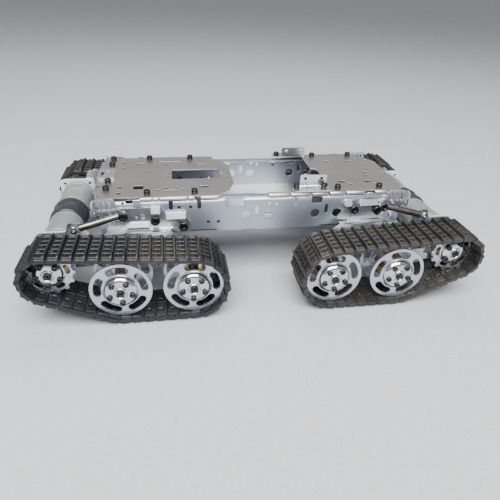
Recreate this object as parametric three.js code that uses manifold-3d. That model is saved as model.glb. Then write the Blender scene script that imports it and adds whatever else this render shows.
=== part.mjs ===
// Tracked robot chassis: a folded sheet-metal body carried by four track units.
// Frame: +X towards the front end, +Y towards the left side, +Z up.
// The origin is on the ground under the middle of the body. Units are millimetres.
import * as THREE from "three";
import { mergeVertices } from "three/addons/utils/BufferGeometryUtils.js";
import Module from "manifold-3d";

const wasm = await Module();
wasm.setup();

// ---------------------------------------------------------------- driving dimensions

const SHEET = 1.5;
const GAP = 0.3;

// Body: two side rails, a floor and two deck plates.
const BODY_HALF_LENGTH = 142;
const RAIL_OUT = 54.7;
const RAIL_IN = RAIL_OUT - SHEET;
const RAIL_BOTTOM = 55.3;
const RAIL_TOP = 88.1;
const FLANGE_IN = 44;
const DECK_TOP = 91;
const DECK_HALF_WIDTH = RAIL_OUT;

// Track units: two road wheels and one toothed sprocket each.
const WHEEL_RADIUS = 26;
const WHEEL_AXIS_Z = 32;
const OUTER_WHEEL_X = 123.2;
const INNER_WHEEL_X = 62.5;
const SPROCKET_X = 180;
const SPROCKET_Z = 47;
const SPROCKET_TIP_RADIUS = 22;
const SPROCKET_ROOT_RADIUS = 19.3;
const SPROCKET_TEETH = 14;
const TRACK_IN = 73.5;
const TRACK_OUT = 115.5;
const TRACK_ON_WHEEL = WHEEL_RADIUS + GAP;
const TRACK_OVER_WHEEL = WHEEL_AXIS_Z;
const TRACK_ON_SPROCKET = SPROCKET_ROOT_RADIUS + GAP;
const TRACK_OVER_SPROCKET = SPROCKET_ROOT_RADIUS + 5;

// Wheel and sprocket discs, as distances from the chassis centre plane.
const WHEEL_DISC_OUT = 109.4;
const WHEEL_DISC_IN = 84;
const HUB_NOSE = 115.4;
const SPROCKET_DISC_OUT = 100;
const SPROCKET_DISC_IN = 84.5;
const SPROCKET_NOSE = 106.5;
const DISC_THICKNESS = 2;
const AXLE_RADIUS = 3;
const AXLE_END = 104;
const SHOULDER_RADIUS = 6;
const CORE_RADIUS = 6;
const CORE_OVERHANG = 4;
const HUB_FLANGE_RADIUS = 15.4;
const HUB_FLANGE_THICKNESS = 1.6;
const HUB_RADIUS = 13.2;

// Unit frame, motor mount and drive motor.
const SHELF_TOP = 61.8;
const FRAME_OUT = 64;
const FRAME_BACK_IN = 56.8;
const FRAME_BACK_BOTTOM = 50;
const MOUNT_OUT = FRAME_OUT - SHEET - GAP;
const MOUNT_THICKNESS = 2;
const MOUNT_HALF = 18;
const MOUNT_BOLT_OFFSET = 13;
const MOUNT_BOLT_HOLE = 1.6;
const PILOT_HOLE = 6.5;
const PILOT_RADIUS = 5;
const MOTOR_RADIUS = 16.5;
const CAP_RADIUS = 17.2;
const CAP_OUT = 14;
const GEARBOX_LENGTH = 20;
const BRACKET_IN = RAIL_OUT + GAP;
const BRACKET_OUT = BRACKET_IN + SHEET;

// Brace rod, from an eye on the wall bracket to an eye on the unit frame.
const ROD_RADIUS = 2.9;
const ROD_STUD_RADIUS = 1.7;
const ROD_EYE_RADIUS = 4;
const ROD_INNER = new THREE.Vector3(120.5, 61, 78.5);
const ROD_OUTER = new THREE.Vector3(162, 69, 70);

// ---------------------------------------------------------------- solid helpers

function closed(geometry) {
  const plain = geometry.clone();
  plain.deleteAttribute("uv");
  plain.deleteAttribute("normal");
  return mergeVertices(plain, 1e-4);
}

function toSolid(geometry) {
  const merged = closed(geometry);
  return new wasm.Manifold(new wasm.Mesh({
    numProp: 3,
    vertProperties: new Float32Array(merged.attributes.position.array),
    triVerts: new Uint32Array(merged.index.array),
  }));
}

function toGeometry(solid) {
  const mesh = solid.getMesh();
  const geometry = new THREE.BufferGeometry();
  geometry.setAttribute("position", new THREE.BufferAttribute(new Float32Array(mesh.vertProperties), 3));
  geometry.setIndex(new THREE.BufferAttribute(new Uint32Array(mesh.triVerts), 1));
  return geometry;
}

const join = (...pieces) => toGeometry(pieces.map(toSolid).reduce((sum, piece) => sum.add(piece)));

const cut = (base, ...tools) =>
  toGeometry(tools.map(toSolid).reduce((rest, tool) => rest.subtract(tool), toSolid(base)));

// Reflect a geometry in X and/or Y and keep its faces pointing outwards.
function mirrored(geometry, signX, signY) {
  const copy = closed(geometry);
  copy.scale(signX, signY, 1);
  if (signX * signY < 0) {
    const index = copy.index.array;
    for (let i = 0; i < index.length; i += 3) {
      [index[i + 1], index[i + 2]] = [index[i + 2], index[i + 1]];
    }
  }
  return copy;
}

function block(x0, x1, y0, y1, z0, z1) {
  const box = new THREE.BoxGeometry(x1 - x0, y1 - y0, z1 - z0);
  box.translate((x0 + x1) / 2, (y0 + y1) / 2, (z0 + z1) / 2);
  return box;
}

// A round bar along Y, centred on (x, z).
function barY(radius, y0, y1, x, z, segments = 24) {
  const bar = new THREE.CylinderGeometry(radius, radius, y1 - y0, segments);
  bar.translate(x, (y0 + y1) / 2, z);
  return bar;
}

// A round bar between two points.
function barBetween(radius, from, to, segments = 8) {
  const along = new THREE.Vector3().subVectors(to, from);
  const bar = new THREE.CylinderGeometry(radius, radius, along.length(), segments);
  const upright = new THREE.Vector3(0, 1, 0);
  const turn = new THREE.Quaternion().setFromUnitVectors(upright, along.clone().normalize());
  bar.applyQuaternion(turn);
  const middle = new THREE.Vector3().addVectors(from, to).multiplyScalar(0.5);
  bar.translate(middle.x, middle.y, middle.z);
  return bar;
}

function outline(points) {
  return new THREE.Shape(points.map(([x, y]) => new THREE.Vector2(x, y)));
}

function roundHole(x, y, radius) {
  const hole = new THREE.Path();
  hole.absarc(x, y, radius, 0, 2 * Math.PI, true);
  return hole;
}

// A slot with round ends, centred on (x, y) and turned by angle from the X direction.
function slotHole(x, y, length, width, angle = 0) {
  const radius = width / 2;
  const half = length / 2 - radius;
  const hole = new THREE.Path();
  const right = [x + half * Math.cos(angle), y + half * Math.sin(angle)];
  const left = [x - half * Math.cos(angle), y - half * Math.sin(angle)];
  hole.absarc(right[0], right[1], radius, angle - Math.PI / 2, angle + Math.PI / 2, false);
  hole.absarc(left[0], left[1], radius, angle + Math.PI / 2, angle + 1.5 * Math.PI, false);
  return hole;
}

function boxHole(x0, x1, y0, y1) {
  return outline([[x0, y0], [x1, y0], [x1, y1], [x0, y1]]);
}

// Sheet lying in the XY plane, between two heights.
function flatSheet(shape, holes, z0, z1, curveSegments = 3) {
  shape.holes.push(...holes);
  const sheet = new THREE.ExtrudeGeometry(shape, { depth: z1 - z0, bevelEnabled: false, curveSegments });
  sheet.translate(0, 0, z0);
  return sheet;
}

// Sheet standing in the XZ plane, between two Y values. Its shape is drawn in X and Z.
function uprightSheet(shape, holes, y0, y1, curveSegments = 3) {
  shape.holes.push(...holes);
  const sheet = new THREE.ExtrudeGeometry(shape, { depth: y1 - y0, bevelEnabled: false, curveSegments });
  sheet.rotateX(Math.PI / 2);
  sheet.translate(0, y1, 0);
  return sheet;
}

// ---------------------------------------------------------------- model and materials

const chassis = new THREE.Group();

const finishes = {
  aluminium: { color: 0x9fb0bf, metalness: 0.85, roughness: 0.3 },
  deck: { color: 0x8f8b86, metalness: 0.8, roughness: 0.35 },
  bracket: { color: 0xc4ccd4, metalness: 0.85, roughness: 0.25 },
  wheel: { color: 0xb8c2cc, metalness: 0.9, roughness: 0.25 },
  steel: { color: 0x6d6661, metalness: 0.9, roughness: 0.3 },
  motor: { color: 0xa9b5ae, metalness: 0.4, roughness: 0.4 },
  plastic: { color: 0x23252a, metalness: 0, roughness: 0.5 },
  track: { color: 0x1f1e1b, metalness: 0, roughness: 0.6 },
};

function add(name, geometry, finish) {
  const mesh = new THREE.Mesh(geometry, new THREE.MeshStandardMaterial(finishes[finish]));
  mesh.name = name;
  chassis.add(mesh);
}

// ---------------------------------------------------------------- body

const RAIL_HOLE_Z = 69.7;
const ROUND_HOLES_X = [-10.7, 10.9, 56.7, 78.3];
const UPRIGHT_SLOTS = [
  [0.1, 74.3, 9], [67.5, 74.3, 9], [-79, 82.8, 8.6], [-53.7, 82.8, 8.6], [36.8, 81.2, 7.5],
];
const SMALL_HOLES = [[-71.7, 80.8], [-61.4, 80.7], [-45.5, 65], [-36.3, 65], [11.7, 81.5], [18.6, 80.3]];

function sideRail() {
  const wall = outline([
    [-BODY_HALF_LENGTH, RAIL_BOTTOM + 2], [-38, RAIL_BOTTOM + 2], [-37, RAIL_BOTTOM], [-14, RAIL_BOTTOM],
    [-13, RAIL_BOTTOM + 1.2], [-2, RAIL_BOTTOM + 1.2], [-1, RAIL_BOTTOM], [62, RAIL_BOTTOM],
    [63, RAIL_BOTTOM + 2], [BODY_HALF_LENGTH, RAIL_BOTTOM + 2],
    [BODY_HALF_LENGTH, RAIL_TOP], [-BODY_HALF_LENGTH, RAIL_TOP],
  ]);
  const holes = [
    ...ROUND_HOLES_X.map((x) => roundHole(x, RAIL_HOLE_Z, 4.5)),
    ...UPRIGHT_SLOTS.map(([x, z, length]) => slotHole(x, z, length, 3.6, Math.PI / 2)),
    ...SMALL_HOLES.map(([x, z]) => roundHole(x, z, 1.5)),
    boxHole(-29.3, -12.2, 80.6, 86),
    boxHole(51.9, 62.9, 80.6, 86),
  ];
  const side = uprightSheet(wall, holes, RAIL_IN, RAIL_OUT);
  const flangeHoles = [-6, 2].map((x) => roundHole(x, 48, 1.6));
  const strip = boxHole(-BODY_HALF_LENGTH, BODY_HALF_LENGTH, FLANGE_IN, RAIL_OUT);
  const flange = flatSheet(strip, flangeHoles, RAIL_TOP - SHEET, RAIL_TOP);
  return join(side, flange);
}

function floorPlate() {
  const end = BODY_HALF_LENGTH - SHEET - GAP;
  const side = RAIL_IN - GAP;
  const holes = [
    ...[-96, 96].map((x) => roundHole(x, 0, 12)),
    ...[-50, 22].flatMap((x) => [-22, 22].map((y) => slotHole(x, y, 26, 4))),
    ...[-120, -72, -22, 50, 72, 120].flatMap((x) => [-42, 42].map((y) => roundHole(x, y, 1.6))),
  ];
  return flatSheet(boxHole(-end, end, -side, side), holes, RAIL_BOTTOM, RAIL_BOTTOM + SHEET);
}

// A lip turned down along one long edge of a deck plate.
function deckLip(x0, x1, side) {
  const inner = DECK_HALF_WIDTH - SHEET;
  const [y0, y1] = side < 0 ? [-DECK_HALF_WIDTH, -inner] : [inner, DECK_HALF_WIDTH];
  return block(x0, x1, y0, y1, RAIL_TOP + GAP, DECK_TOP);
}

const REAR_DECK_EDGE = -18;
const REAR_DECK_LIP_END = -33;
const WINDOW = { x0: -77, x1: -30.5, y0: -11, y1: 13 };

function rearDeck() {
  const end = -BODY_HALF_LENGTH;
  const tab = end - 6;
  const shape = outline([
    [REAR_DECK_LIP_END, -DECK_HALF_WIDTH], [REAR_DECK_LIP_END, -46], [-24, -38], [REAR_DECK_EDGE, -24],
    [REAR_DECK_EDGE, 24], [-24, 38], [REAR_DECK_LIP_END, 46], [REAR_DECK_LIP_END, DECK_HALF_WIDTH],
    [end, DECK_HALF_WIDTH], [end, 45], [tab, 41], [tab, 24], [end, 20], [end, -6], [tab, -9], [tab, -19],
    [end, -22], [end, -25], [tab, -28], [tab, -38], [end, -41], [end, -DECK_HALF_WIDTH],
  ]);
  const holes = [
    boxHole(WINDOW.x0, WINDOW.x1, WINDOW.y0, WINDOW.y1),
    ...[-83, -72.5].flatMap((x) => [-32, 30].map((y) => roundHole(x, y, 1.6))),
    ...[-42, -28, 20.8, 37].map((y) => roundHole(-125, y, 1.8)),
    ...[[-103.2, 11.3], [-103.7, -15.6], [-22.8, 17.3], [-23.1, -20.6]].map(([x, y]) => roundHole(x, y, 1.6)),
    boxHole(-112, -104.5, 30.5, 33.5),
    boxHole(-112.5, -103.5, -33.5, -25.5),
    boxHole(-50, -42, 26.6, 29),
    boxHole(-52, -43, -33.3, -29.8),
    slotHole(-78, 37.5, 24, 1.8),
  ];
  const plate = flatSheet(shape, holes, DECK_TOP - SHEET, DECK_TOP);
  return join(plate, deckLip(-120, REAR_DECK_LIP_END, -1), deckLip(-120, REAR_DECK_LIP_END, 1));
}

const FRONT_DECK_EDGE = 68;

function frontDeck() {
  const end = BODY_HALF_LENGTH;
  const strip = 10;
  const stripIn = 50.5;
  const shape = outline([
    [strip, -DECK_HALF_WIDTH], [end, -DECK_HALF_WIDTH], [end, -47], [end + 6, -43], [end + 6, 25], [138, 40],
    [124, DECK_HALF_WIDTH], [strip + 24, DECK_HALF_WIDTH], [strip + 24, stripIn], [64, stripIn],
    [FRONT_DECK_EDGE, 40], [FRONT_DECK_EDGE, 8], [FRONT_DECK_EDGE + 6, 6], [FRONT_DECK_EDGE + 6, -30],
    [72, -44], [64, -stripIn], [strip, -stripIn],
  ]);
  const holes = [
    boxHole(87.5, 95.5, 27.8, 30.4),
    slotHole(116.8, 27.6, 8, 3),
    ...[[137.9, 30.7], [143.3, 20], [128.6, 4.6], [120.8, -15.1], [143, 6.3], [141.3, -10.7], [139.1, -26.7]]
      .map(([x, y]) => roundHole(x, y, 1.6)),
    slotHole(122.6, -5.6, 6, 3),
    slotHole(89.5, -29.2, 8, 4),
    slotHole(97, -37, 6, 2.4, -0.8),
    slotHole(116.3, -29.9, 8, 4),
    slotHole(123, -38, 6, 2.4, -0.8),
  ];
  const plate = flatSheet(shape, holes, DECK_TOP - SHEET, DECK_TOP);
  return join(plate, deckLip(strip, 128, -1), deckLip(strip + 24, 122, 1));
}

// Small angle bracket on the deck edge: a foot, and an upright with two holes.
const ANGLE_X0 = 43;
const ANGLE_X1 = 69;
const ANGLE_TOP = 103.5;
const ANGLE_UPRIGHT = 40;

function angleBracket() {
  const foot0 = DECK_TOP + GAP;
  const footShape = boxHole(ANGLE_X0 - 8, ANGLE_X1 + 1, ANGLE_UPRIGHT, RAIL_OUT);
  const foot = flatSheet(footShape, [boxHole(46, 56, 42.5, 45)], foot0, foot0 + SHEET);
  const holes = [ANGLE_X0 + 5, ANGLE_X1 - 5].map((x) => roundHole(x, ANGLE_TOP - 3.5, 1.6));
  const upright = uprightSheet(
    boxHole(ANGLE_X0, ANGLE_X1, foot0, ANGLE_TOP), holes, ANGLE_UPRIGHT, ANGLE_UPRIGHT + SHEET);
  return join(foot, upright);
}

// Plate closing one end of the body, with key-shaped cut-outs.
function endPlate() {
  const side = RAIL_IN - GAP;
  const shape = boxHole(-side, side, RAIL_BOTTOM + 2, RAIL_TOP - SHEET - GAP);
  const holes = [
    ...[-36, 36].map((y) => roundHole(y, 72, 4)),
    ...[-18, 0, 18].map((y) => slotHole(y, 74, 12, 4, Math.PI / 2)),
    ...[-26, 26].map((y) => roundHole(y, 64, 1.8)),
  ];
  const sheet = uprightSheet(shape, holes, 0, SHEET);
  sheet.rotateZ(-Math.PI / 2);
  sheet.translate(BODY_HALF_LENGTH - SHEET, 0, 0);
  return sheet;
}

add("side_rail_right", mirrored(sideRail(), 1, -1), "aluminium");
add("side_rail_left", sideRail(), "aluminium");
add("floor_plate", floorPlate(), "aluminium");
add("deck_plate_rear", rearDeck(), "deck");
add("deck_plate_front", frontDeck(), "deck");
add("angle_bracket_right", mirrored(angleBracket(), 1, -1), "bracket");
add("angle_bracket_left", angleBracket(), "bracket");
add("end_plate_front", closed(endPlate()), "bracket");
add("end_plate_rear", mirrored(endPlate(), -1, 1), "bracket");

// ---------------------------------------------------------------- track unit
// Each piece is drawn for the corner where X and Y are positive, and reflected to the others.

const BRACKET_END = 147;
const BRACKET_FLANGE = 5;
const TAIL_BOTTOM = 76;
const TAIL_TOP = 91.5;

// Bracket screwed on the outside of a rail. Its tail reaches past the rail and has a flange turned out.
function wallBracket(front) {
  const tail = [[BRACKET_END, TAIL_BOTTOM], [BRACKET_END, TAIL_TOP], [128, TAIL_TOP], [125, 82.5]];
  const body = front
    ? [[118, 80.7], [100, 81], [96, 83], [85.3, 83], [82, 80], [85.6, 74], [79, 67], [79, 64.5], [86, 62.5],
      [122, 62.5], [125, 59.5], [132, 59.5], [135, 63], [135, 70], [132, 74], [134, TAIL_BOTTOM]]
    : [[120, 82.5], [88, 82.5], [84.5, 76.5], [65, 76.5], [65, 70.5], [61.5, 68], [61.5, 57.6],
      [139, 57.6], [134, 69], [137, TAIL_BOTTOM]];
  const screws = front ? [[94.7, 72.1], [118.7, 70.3]] : [[93.3, 70.4], [68.4, 63.9]];
  const holes = [
    ...screws.map(([x, z]) => roundHole(x, z, 2.6)),
    ...[131.5, 136.5, 141.5].map((x) => slotHole(x, 84, 9, 2.4, Math.PI / 2)),
    roundHole(front ? 129 : 104, front ? 66.3 : 70.4, 3.2),
  ];
  const sheet = uprightSheet(outline([...tail, ...body]), holes, BRACKET_IN, BRACKET_OUT);
  const flange = block(
    BRACKET_END - SHEET, BRACKET_END, BRACKET_IN, BRACKET_OUT + BRACKET_FLANGE, TAIL_BOTTOM, TAIL_TOP);
  return join(sheet, flange);
}

// The motor's pilot hole and its four bolt holes.
function motorHoles() {
  const sides = [-MOUNT_BOLT_OFFSET, MOUNT_BOLT_OFFSET];
  const bolt = (i, k) => roundHole(SPROCKET_X + i, SPROCKET_Z + k, MOUNT_BOLT_HOLE);
  const bolts = sides.flatMap((i) => sides.map((k) => bolt(i, k)));
  return [roundHole(SPROCKET_X, SPROCKET_Z, PILOT_HOLE), ...bolts];
}

// Channel-shaped unit frame: back flange, shelf, and the side web that carries axles and motor.
function unitFrame() {
  const web = outline([
    [80, SHELF_TOP], [54, 40], [54, 27], [60, 22], [126, 22], [150, 30], [160, 29], [SPROCKET_X + 12, 29],
    [SPROCKET_X + MOUNT_HALF, 35], [SPROCKET_X + MOUNT_HALF, 60], [SPROCKET_X + 13, 65], [170, 65],
    [168, 74], [157, 74], [146, 56], [137, SHELF_TOP],
  ]);
  const holes = [
    ...motorHoles(),
    roundHole(93, 41, 8),
    roundHole(93, 27.5, 2.5),
    slotHole(146, 42, 12, 7, Math.PI / 2),
  ];
  const side = uprightSheet(web, holes, FRAME_OUT - SHEET, FRAME_OUT);
  const shelf = block(80, 137, FRAME_BACK_IN, FRAME_OUT, SHELF_TOP - SHEET, SHELF_TOP);
  const back = block(84, 133, FRAME_BACK_IN, FRAME_BACK_IN + SHEET, FRAME_BACK_BOTTOM, SHELF_TOP);
  return join(side, shelf, back);
}

function motorMount() {
  const x = SPROCKET_X;
  const z = SPROCKET_Z;
  const chamfer = 4;
  const far = MOUNT_HALF;
  const near = MOUNT_HALF - chamfer;
  const shape = outline([
    [x - near, z - far], [x + near, z - far], [x + far, z - near], [x + far, z + near],
    [x + near, z + far], [x - near, z + far], [x - far, z + near], [x - far, z - near],
  ]);
  return uprightSheet(shape, motorHoles(), MOUNT_OUT - MOUNT_THICKNESS, MOUNT_OUT);
}

// Gearbox with its boss, and the slimmer motor can behind it.
function gearMotor() {
  const face = MOUNT_OUT - MOUNT_THICKNESS - GAP;
  const gearboxEnd = face - GEARBOX_LENGTH;
  return join(
    barY(PILOT_RADIUS, face - 2, MOUNT_OUT + 1, SPROCKET_X, SPROCKET_Z, 12),
    barY(MOTOR_RADIUS, gearboxEnd, face, SPROCKET_X, SPROCKET_Z, 24),
    barY(MOTOR_RADIUS - 0.5, CAP_OUT + GAP, gearboxEnd + 1, SPROCKET_X, SPROCKET_Z, 24),
  );
}

function encoderCap() {
  const cap = barY(CAP_RADIUS, GAP, CAP_OUT, SPROCKET_X, SPROCKET_Z, 24);
  const notches = [0, 1, 2].map((i) => {
    const angle = Math.PI / 2 + (i * 2 * Math.PI) / 3;
    const [x, z] = [SPROCKET_X + CAP_RADIUS * Math.cos(angle), SPROCKET_Z + CAP_RADIUS * Math.sin(angle)];
    return block(x - 2, x + 2, CAP_OUT - 3, CAP_OUT + 1, z - 2, z + 2);
  });
  return cut(cap, ...notches);
}

function braceRod() {
  const along = new THREE.Vector3().subVectors(ROD_OUTER, ROD_INNER).normalize();
  const sleeveFrom = ROD_INNER.clone().addScaledVector(along, 7);
  const sleeveTo = ROD_OUTER.clone().addScaledVector(along, -8);
  const eye = (p) => barY(ROD_EYE_RADIUS, p.y - 2.5, p.y + 2.5, p.x, p.z, 10);
  return join(
    barBetween(ROD_STUD_RADIUS, ROD_INNER, ROD_OUTER),
    barBetween(ROD_RADIUS, sleeveFrom, sleeveTo, 12),
    eye(ROD_INNER),
    eye(ROD_OUTER),
  );
}

// Outline around the three running circles, as arcs joined by their common tangents.
function loop(aroundWheel, aroundSprocket) {
  const circles = [
    { x: INNER_WHEEL_X, z: WHEEL_AXIS_Z, r: aroundWheel },
    { x: OUTER_WHEEL_X, z: WHEEL_AXIS_Z, r: aroundWheel },
    { x: SPROCKET_X, z: SPROCKET_Z, r: aroundSprocket },
  ];
  const count = circles.length;
  const normals = circles.map((a, i) => {
    const b = circles[(i + 1) % count];
    const distance = Math.hypot(b.x - a.x, b.z - a.z);
    return Math.atan2(b.z - a.z, b.x - a.x) - Math.acos((a.r - b.r) / distance);
  });
  const path = new THREE.Shape();
  circles.forEach((circle, i) => {
    const from = normals[(i + count - 1) % count];
    let to = normals[i];
    while (to < from) to += 2 * Math.PI;
    path.absarc(circle.x, circle.z, circle.r, from, to, false);
  });
  return path;
}

const TRACK_SEGMENTS = 5;
const TRACK_GROOVE_SIDE = 0.6;

function track() {
  const band = uprightSheet(
    loop(TRACK_OVER_WHEEL, TRACK_OVER_SPROCKET), [loop(TRACK_ON_WHEEL, TRACK_ON_SPROCKET)],
    TRACK_IN, TRACK_OUT, TRACK_SEGMENTS);
  const grooves = [SPROCKET_DISC_OUT, SPROCKET_DISC_IN].map((out) => barY(
    SPROCKET_TIP_RADIUS + GAP, out - DISC_THICKNESS - TRACK_GROOVE_SIDE, out + TRACK_GROOVE_SIDE,
    SPROCKET_X, SPROCKET_Z, 24));
  return cut(band, ...grooves);
}

const SLOT_COUNT = 5;
const SPROCKET_HOLE_CENTRE = 15;
const SPROCKET_HOLE_LENGTH = 7.5;
const SPROCKET_HOLE_WIDTH = 3.2;

function toothedDisc(out) {
  const shape = new THREE.Shape();
  const pitch = (2 * Math.PI) / SPROCKET_TEETH;
  const tip = 0.15 * pitch;
  const flank = 0.24 * pitch;
  for (let tooth = 0; tooth < SPROCKET_TEETH; tooth += 1) {
    const middle = tooth * pitch;
    const corners = [
      [SPROCKET_ROOT_RADIUS, middle - flank], [SPROCKET_TIP_RADIUS, middle - tip],
      [SPROCKET_TIP_RADIUS, middle + tip], [SPROCKET_ROOT_RADIUS, middle + flank],
    ];
    for (const [radius, angle] of corners) {
      const [x, z] = [SPROCKET_X + radius * Math.cos(angle), SPROCKET_Z + radius * Math.sin(angle)];
      if (tooth === 0 && radius === SPROCKET_ROOT_RADIUS && angle < middle) shape.moveTo(x, z);
      else shape.lineTo(x, z);
    }
  }
  const holes = Array.from({ length: SLOT_COUNT }, (_, i) => {
    const angle = (i * 2 * Math.PI) / SLOT_COUNT;
    const x = SPROCKET_X + SPROCKET_HOLE_CENTRE * Math.cos(angle);
    const z = SPROCKET_Z + SPROCKET_HOLE_CENTRE * Math.sin(angle);
    return slotHole(x, z, SPROCKET_HOLE_LENGTH, SPROCKET_HOLE_WIDTH, angle + Math.PI / 2);
  });
  return uprightSheet(shape, holes, out - DISC_THICKNESS, out, 1);
}

function sprocket() {
  const at = [SPROCKET_X, SPROCKET_Z];
  return join(
    toothedDisc(SPROCKET_DISC_OUT),
    toothedDisc(SPROCKET_DISC_IN),
    barY(AXLE_RADIUS, MOUNT_OUT + 1 + GAP, SPROCKET_DISC_IN, ...at, 8),
    barY(CORE_RADIUS, SPROCKET_DISC_IN - CORE_OVERHANG, SPROCKET_DISC_OUT, ...at, 12),
    barY(HUB_RADIUS, SPROCKET_DISC_OUT - DISC_THICKNESS, SPROCKET_NOSE, ...at, 16),
  );
}

const KIDNEY_IN = 16.3;
const KIDNEY_OUT = 22.7;
const KIDNEY_HALF_ANGLE = 0.43;
const RIM_SIDES = 24;

// Curved slot along a circle round the wheel axis.
function kidneyHole(x, z, angle) {
  const hole = new THREE.Path();
  hole.absarc(x, z, KIDNEY_OUT, angle - KIDNEY_HALF_ANGLE, angle + KIDNEY_HALF_ANGLE, false);
  hole.absarc(x, z, KIDNEY_IN, angle + KIDNEY_HALF_ANGLE, angle - KIDNEY_HALF_ANGLE, true);
  return hole;
}

function wheelDisc(x, z, out) {
  const rim = Array.from({ length: RIM_SIDES }, (_, i) => {
    const angle = (i * 2 * Math.PI) / RIM_SIDES;
    return [x + WHEEL_RADIUS * Math.cos(angle), z + WHEEL_RADIUS * Math.sin(angle)];
  });
  const kidneys = Array.from({ length: SLOT_COUNT }, (_, i) =>
    kidneyHole(x, z, Math.PI / 2 + (i * 2 * Math.PI) / SLOT_COUNT));
  return uprightSheet(outline(rim), kidneys, out - DISC_THICKNESS, out, 1);
}

function roadWheel(x) {
  const z = WHEEL_AXIS_Z;
  const discs = [WHEEL_DISC_OUT, WHEEL_DISC_IN].map((out) => wheelDisc(x, z, out));
  const coreStart = WHEEL_DISC_IN - CORE_OVERHANG;
  const flangeEnd = WHEEL_DISC_OUT + HUB_FLANGE_THICKNESS;
  const core = barY(CORE_RADIUS, coreStart, WHEEL_DISC_OUT, x, z, 12);
  const flange = barY(HUB_FLANGE_RADIUS, WHEEL_DISC_OUT - DISC_THICKNESS, flangeEnd, x, z, 20);
  const nose = barY(HUB_RADIUS, WHEEL_DISC_OUT, HUB_NOSE, x, z, 20);
  const bore = barY(AXLE_RADIUS + GAP, coreStart - 1, AXLE_END + GAP, x, z, 10);
  return cut(join(...discs, core, flange, nose), bore);
}

// Fixed axle with a shoulder that keeps the wheel off the unit frame.
function wheelAxle(x) {
  return join(
    barY(AXLE_RADIUS, FRAME_OUT + GAP, AXLE_END, x, WHEEL_AXIS_Z, 10),
    barY(SHOULDER_RADIUS, FRAME_OUT + GAP, WHEEL_DISC_IN - CORE_OVERHANG - 1, x, WHEEL_AXIS_Z, 12),
  );
}

const corners = [
  { name: "front_right", signX: 1, signY: -1 },
  { name: "front_left", signX: 1, signY: 1 },
  { name: "rear_right", signX: -1, signY: -1 },
  { name: "rear_left", signX: -1, signY: 1 },
];

for (const { name, signX, signY } of corners) {
  const place = (piece, geometry, finish) =>
    add(`${piece}_${name}`, mirrored(geometry, signX, signY), finish);
  place("wall_bracket", wallBracket(signX > 0), "bracket");
  place("unit_frame", unitFrame(), "bracket");
  place("motor_mount", motorMount(), "bracket");
  place("gear_motor", gearMotor(), "motor");
  place("encoder_cap", encoderCap(), "plastic");
  place("brace_rod", braceRod(), "steel");
  place("track", track(), "track");
  place("sprocket", sprocket(), "wheel");
  place("outer_axle", wheelAxle(OUTER_WHEEL_X), "steel");
  place("inner_axle", wheelAxle(INNER_WHEEL_X), "steel");
  place("outer_wheel", roadWheel(OUTER_WHEEL_X), "wheel");
  place("inner_wheel", roadWheel(INNER_WHEEL_X), "wheel");
}

export default chassis;
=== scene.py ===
import math
import random

import bmesh
import bpy
from mathutils import Matrix, Vector


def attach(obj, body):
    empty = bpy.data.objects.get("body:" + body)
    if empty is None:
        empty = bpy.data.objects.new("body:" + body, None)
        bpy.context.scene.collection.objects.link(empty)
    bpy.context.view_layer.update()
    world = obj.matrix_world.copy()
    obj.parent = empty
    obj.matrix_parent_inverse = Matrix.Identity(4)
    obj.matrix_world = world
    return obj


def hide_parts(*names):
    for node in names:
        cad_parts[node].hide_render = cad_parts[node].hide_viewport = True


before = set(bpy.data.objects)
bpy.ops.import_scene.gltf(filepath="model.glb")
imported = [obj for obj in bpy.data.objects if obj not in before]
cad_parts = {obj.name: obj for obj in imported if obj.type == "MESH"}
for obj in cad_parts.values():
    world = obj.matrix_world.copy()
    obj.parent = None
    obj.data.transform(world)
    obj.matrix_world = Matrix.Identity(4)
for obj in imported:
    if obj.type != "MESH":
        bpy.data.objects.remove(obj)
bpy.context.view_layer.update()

MM = 0.001
# A face counts as flat where its normal leans less than about 8 degrees from Z.
FLAT_NORMAL = 0.99

# ------------------------------------------------------------------ sizes, in millimetres

SHEET = 1.5
GAP = 0.3
BODY_END = 142.0
RAIL_OUT = 54.7
RAIL_BOTTOM = 55.3
RAIL_TOP = 88.1
RAIL_FOLD = 3.6
FLANGE_IN = 44.0
DECK_TOP = 91.0
DECK_FOLD = 1.6
DECK_BEVEL = 0.42
WINDOW = (-77.0, -30.5, -11.0, 13.0)

WHEEL_R = 26.0
WHEEL_Z = 32.0
OUTER_WHEEL_X = 123.2
INNER_WHEEL_X = 62.5
WHEEL_DISC_OUT = 109.4
WHEEL_DISC_IN = 84.0
DISC_T = 2.0

SPROCKET_X = 180.0
SPROCKET_Z = 47.0
SPROCKET_TIP = 22.0
SPROCKET_ROOT = 19.3
SPROCKET_TEETH = 14
SPROCKET_DISC_OUT = 100.0
SPROCKET_DISC_IN = 84.5

TRACK_IN = 73.5
TRACK_OUT = 115.5
LINK_PITCH = 10.0
LINK_HEIGHT = 5.7

MOUNT_OUT = 62.2
MOUNT_T = 2.0
MOUNT_HALF = 18.0
MOUNT_BOLT = 13.0
M3_HOLE_R = 1.6
SHAFT_HOLE_R = 6.5
MOTOR_R = 16.5
CAP_R = 17.2
CAP_OUT = 14.0
FRAME_OUT = 64.0
SHELF_TOP = 61.8
BRACKET_IN = RAIL_OUT + GAP
BRACKET_OUT = BRACKET_IN + SHEET
ROD_INNER = Vector((120.5, 61.0, 78.5))
ROD_OUTER = Vector((162.0, 69.0, 70.0))

CORNERS = {
    "front_right": (1, -1),
    "front_left": (1, 1),
    "rear_right": (-1, -1),
    "rear_left": (-1, 1),
}

# ------------------------------------------------------------------ materials


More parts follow.
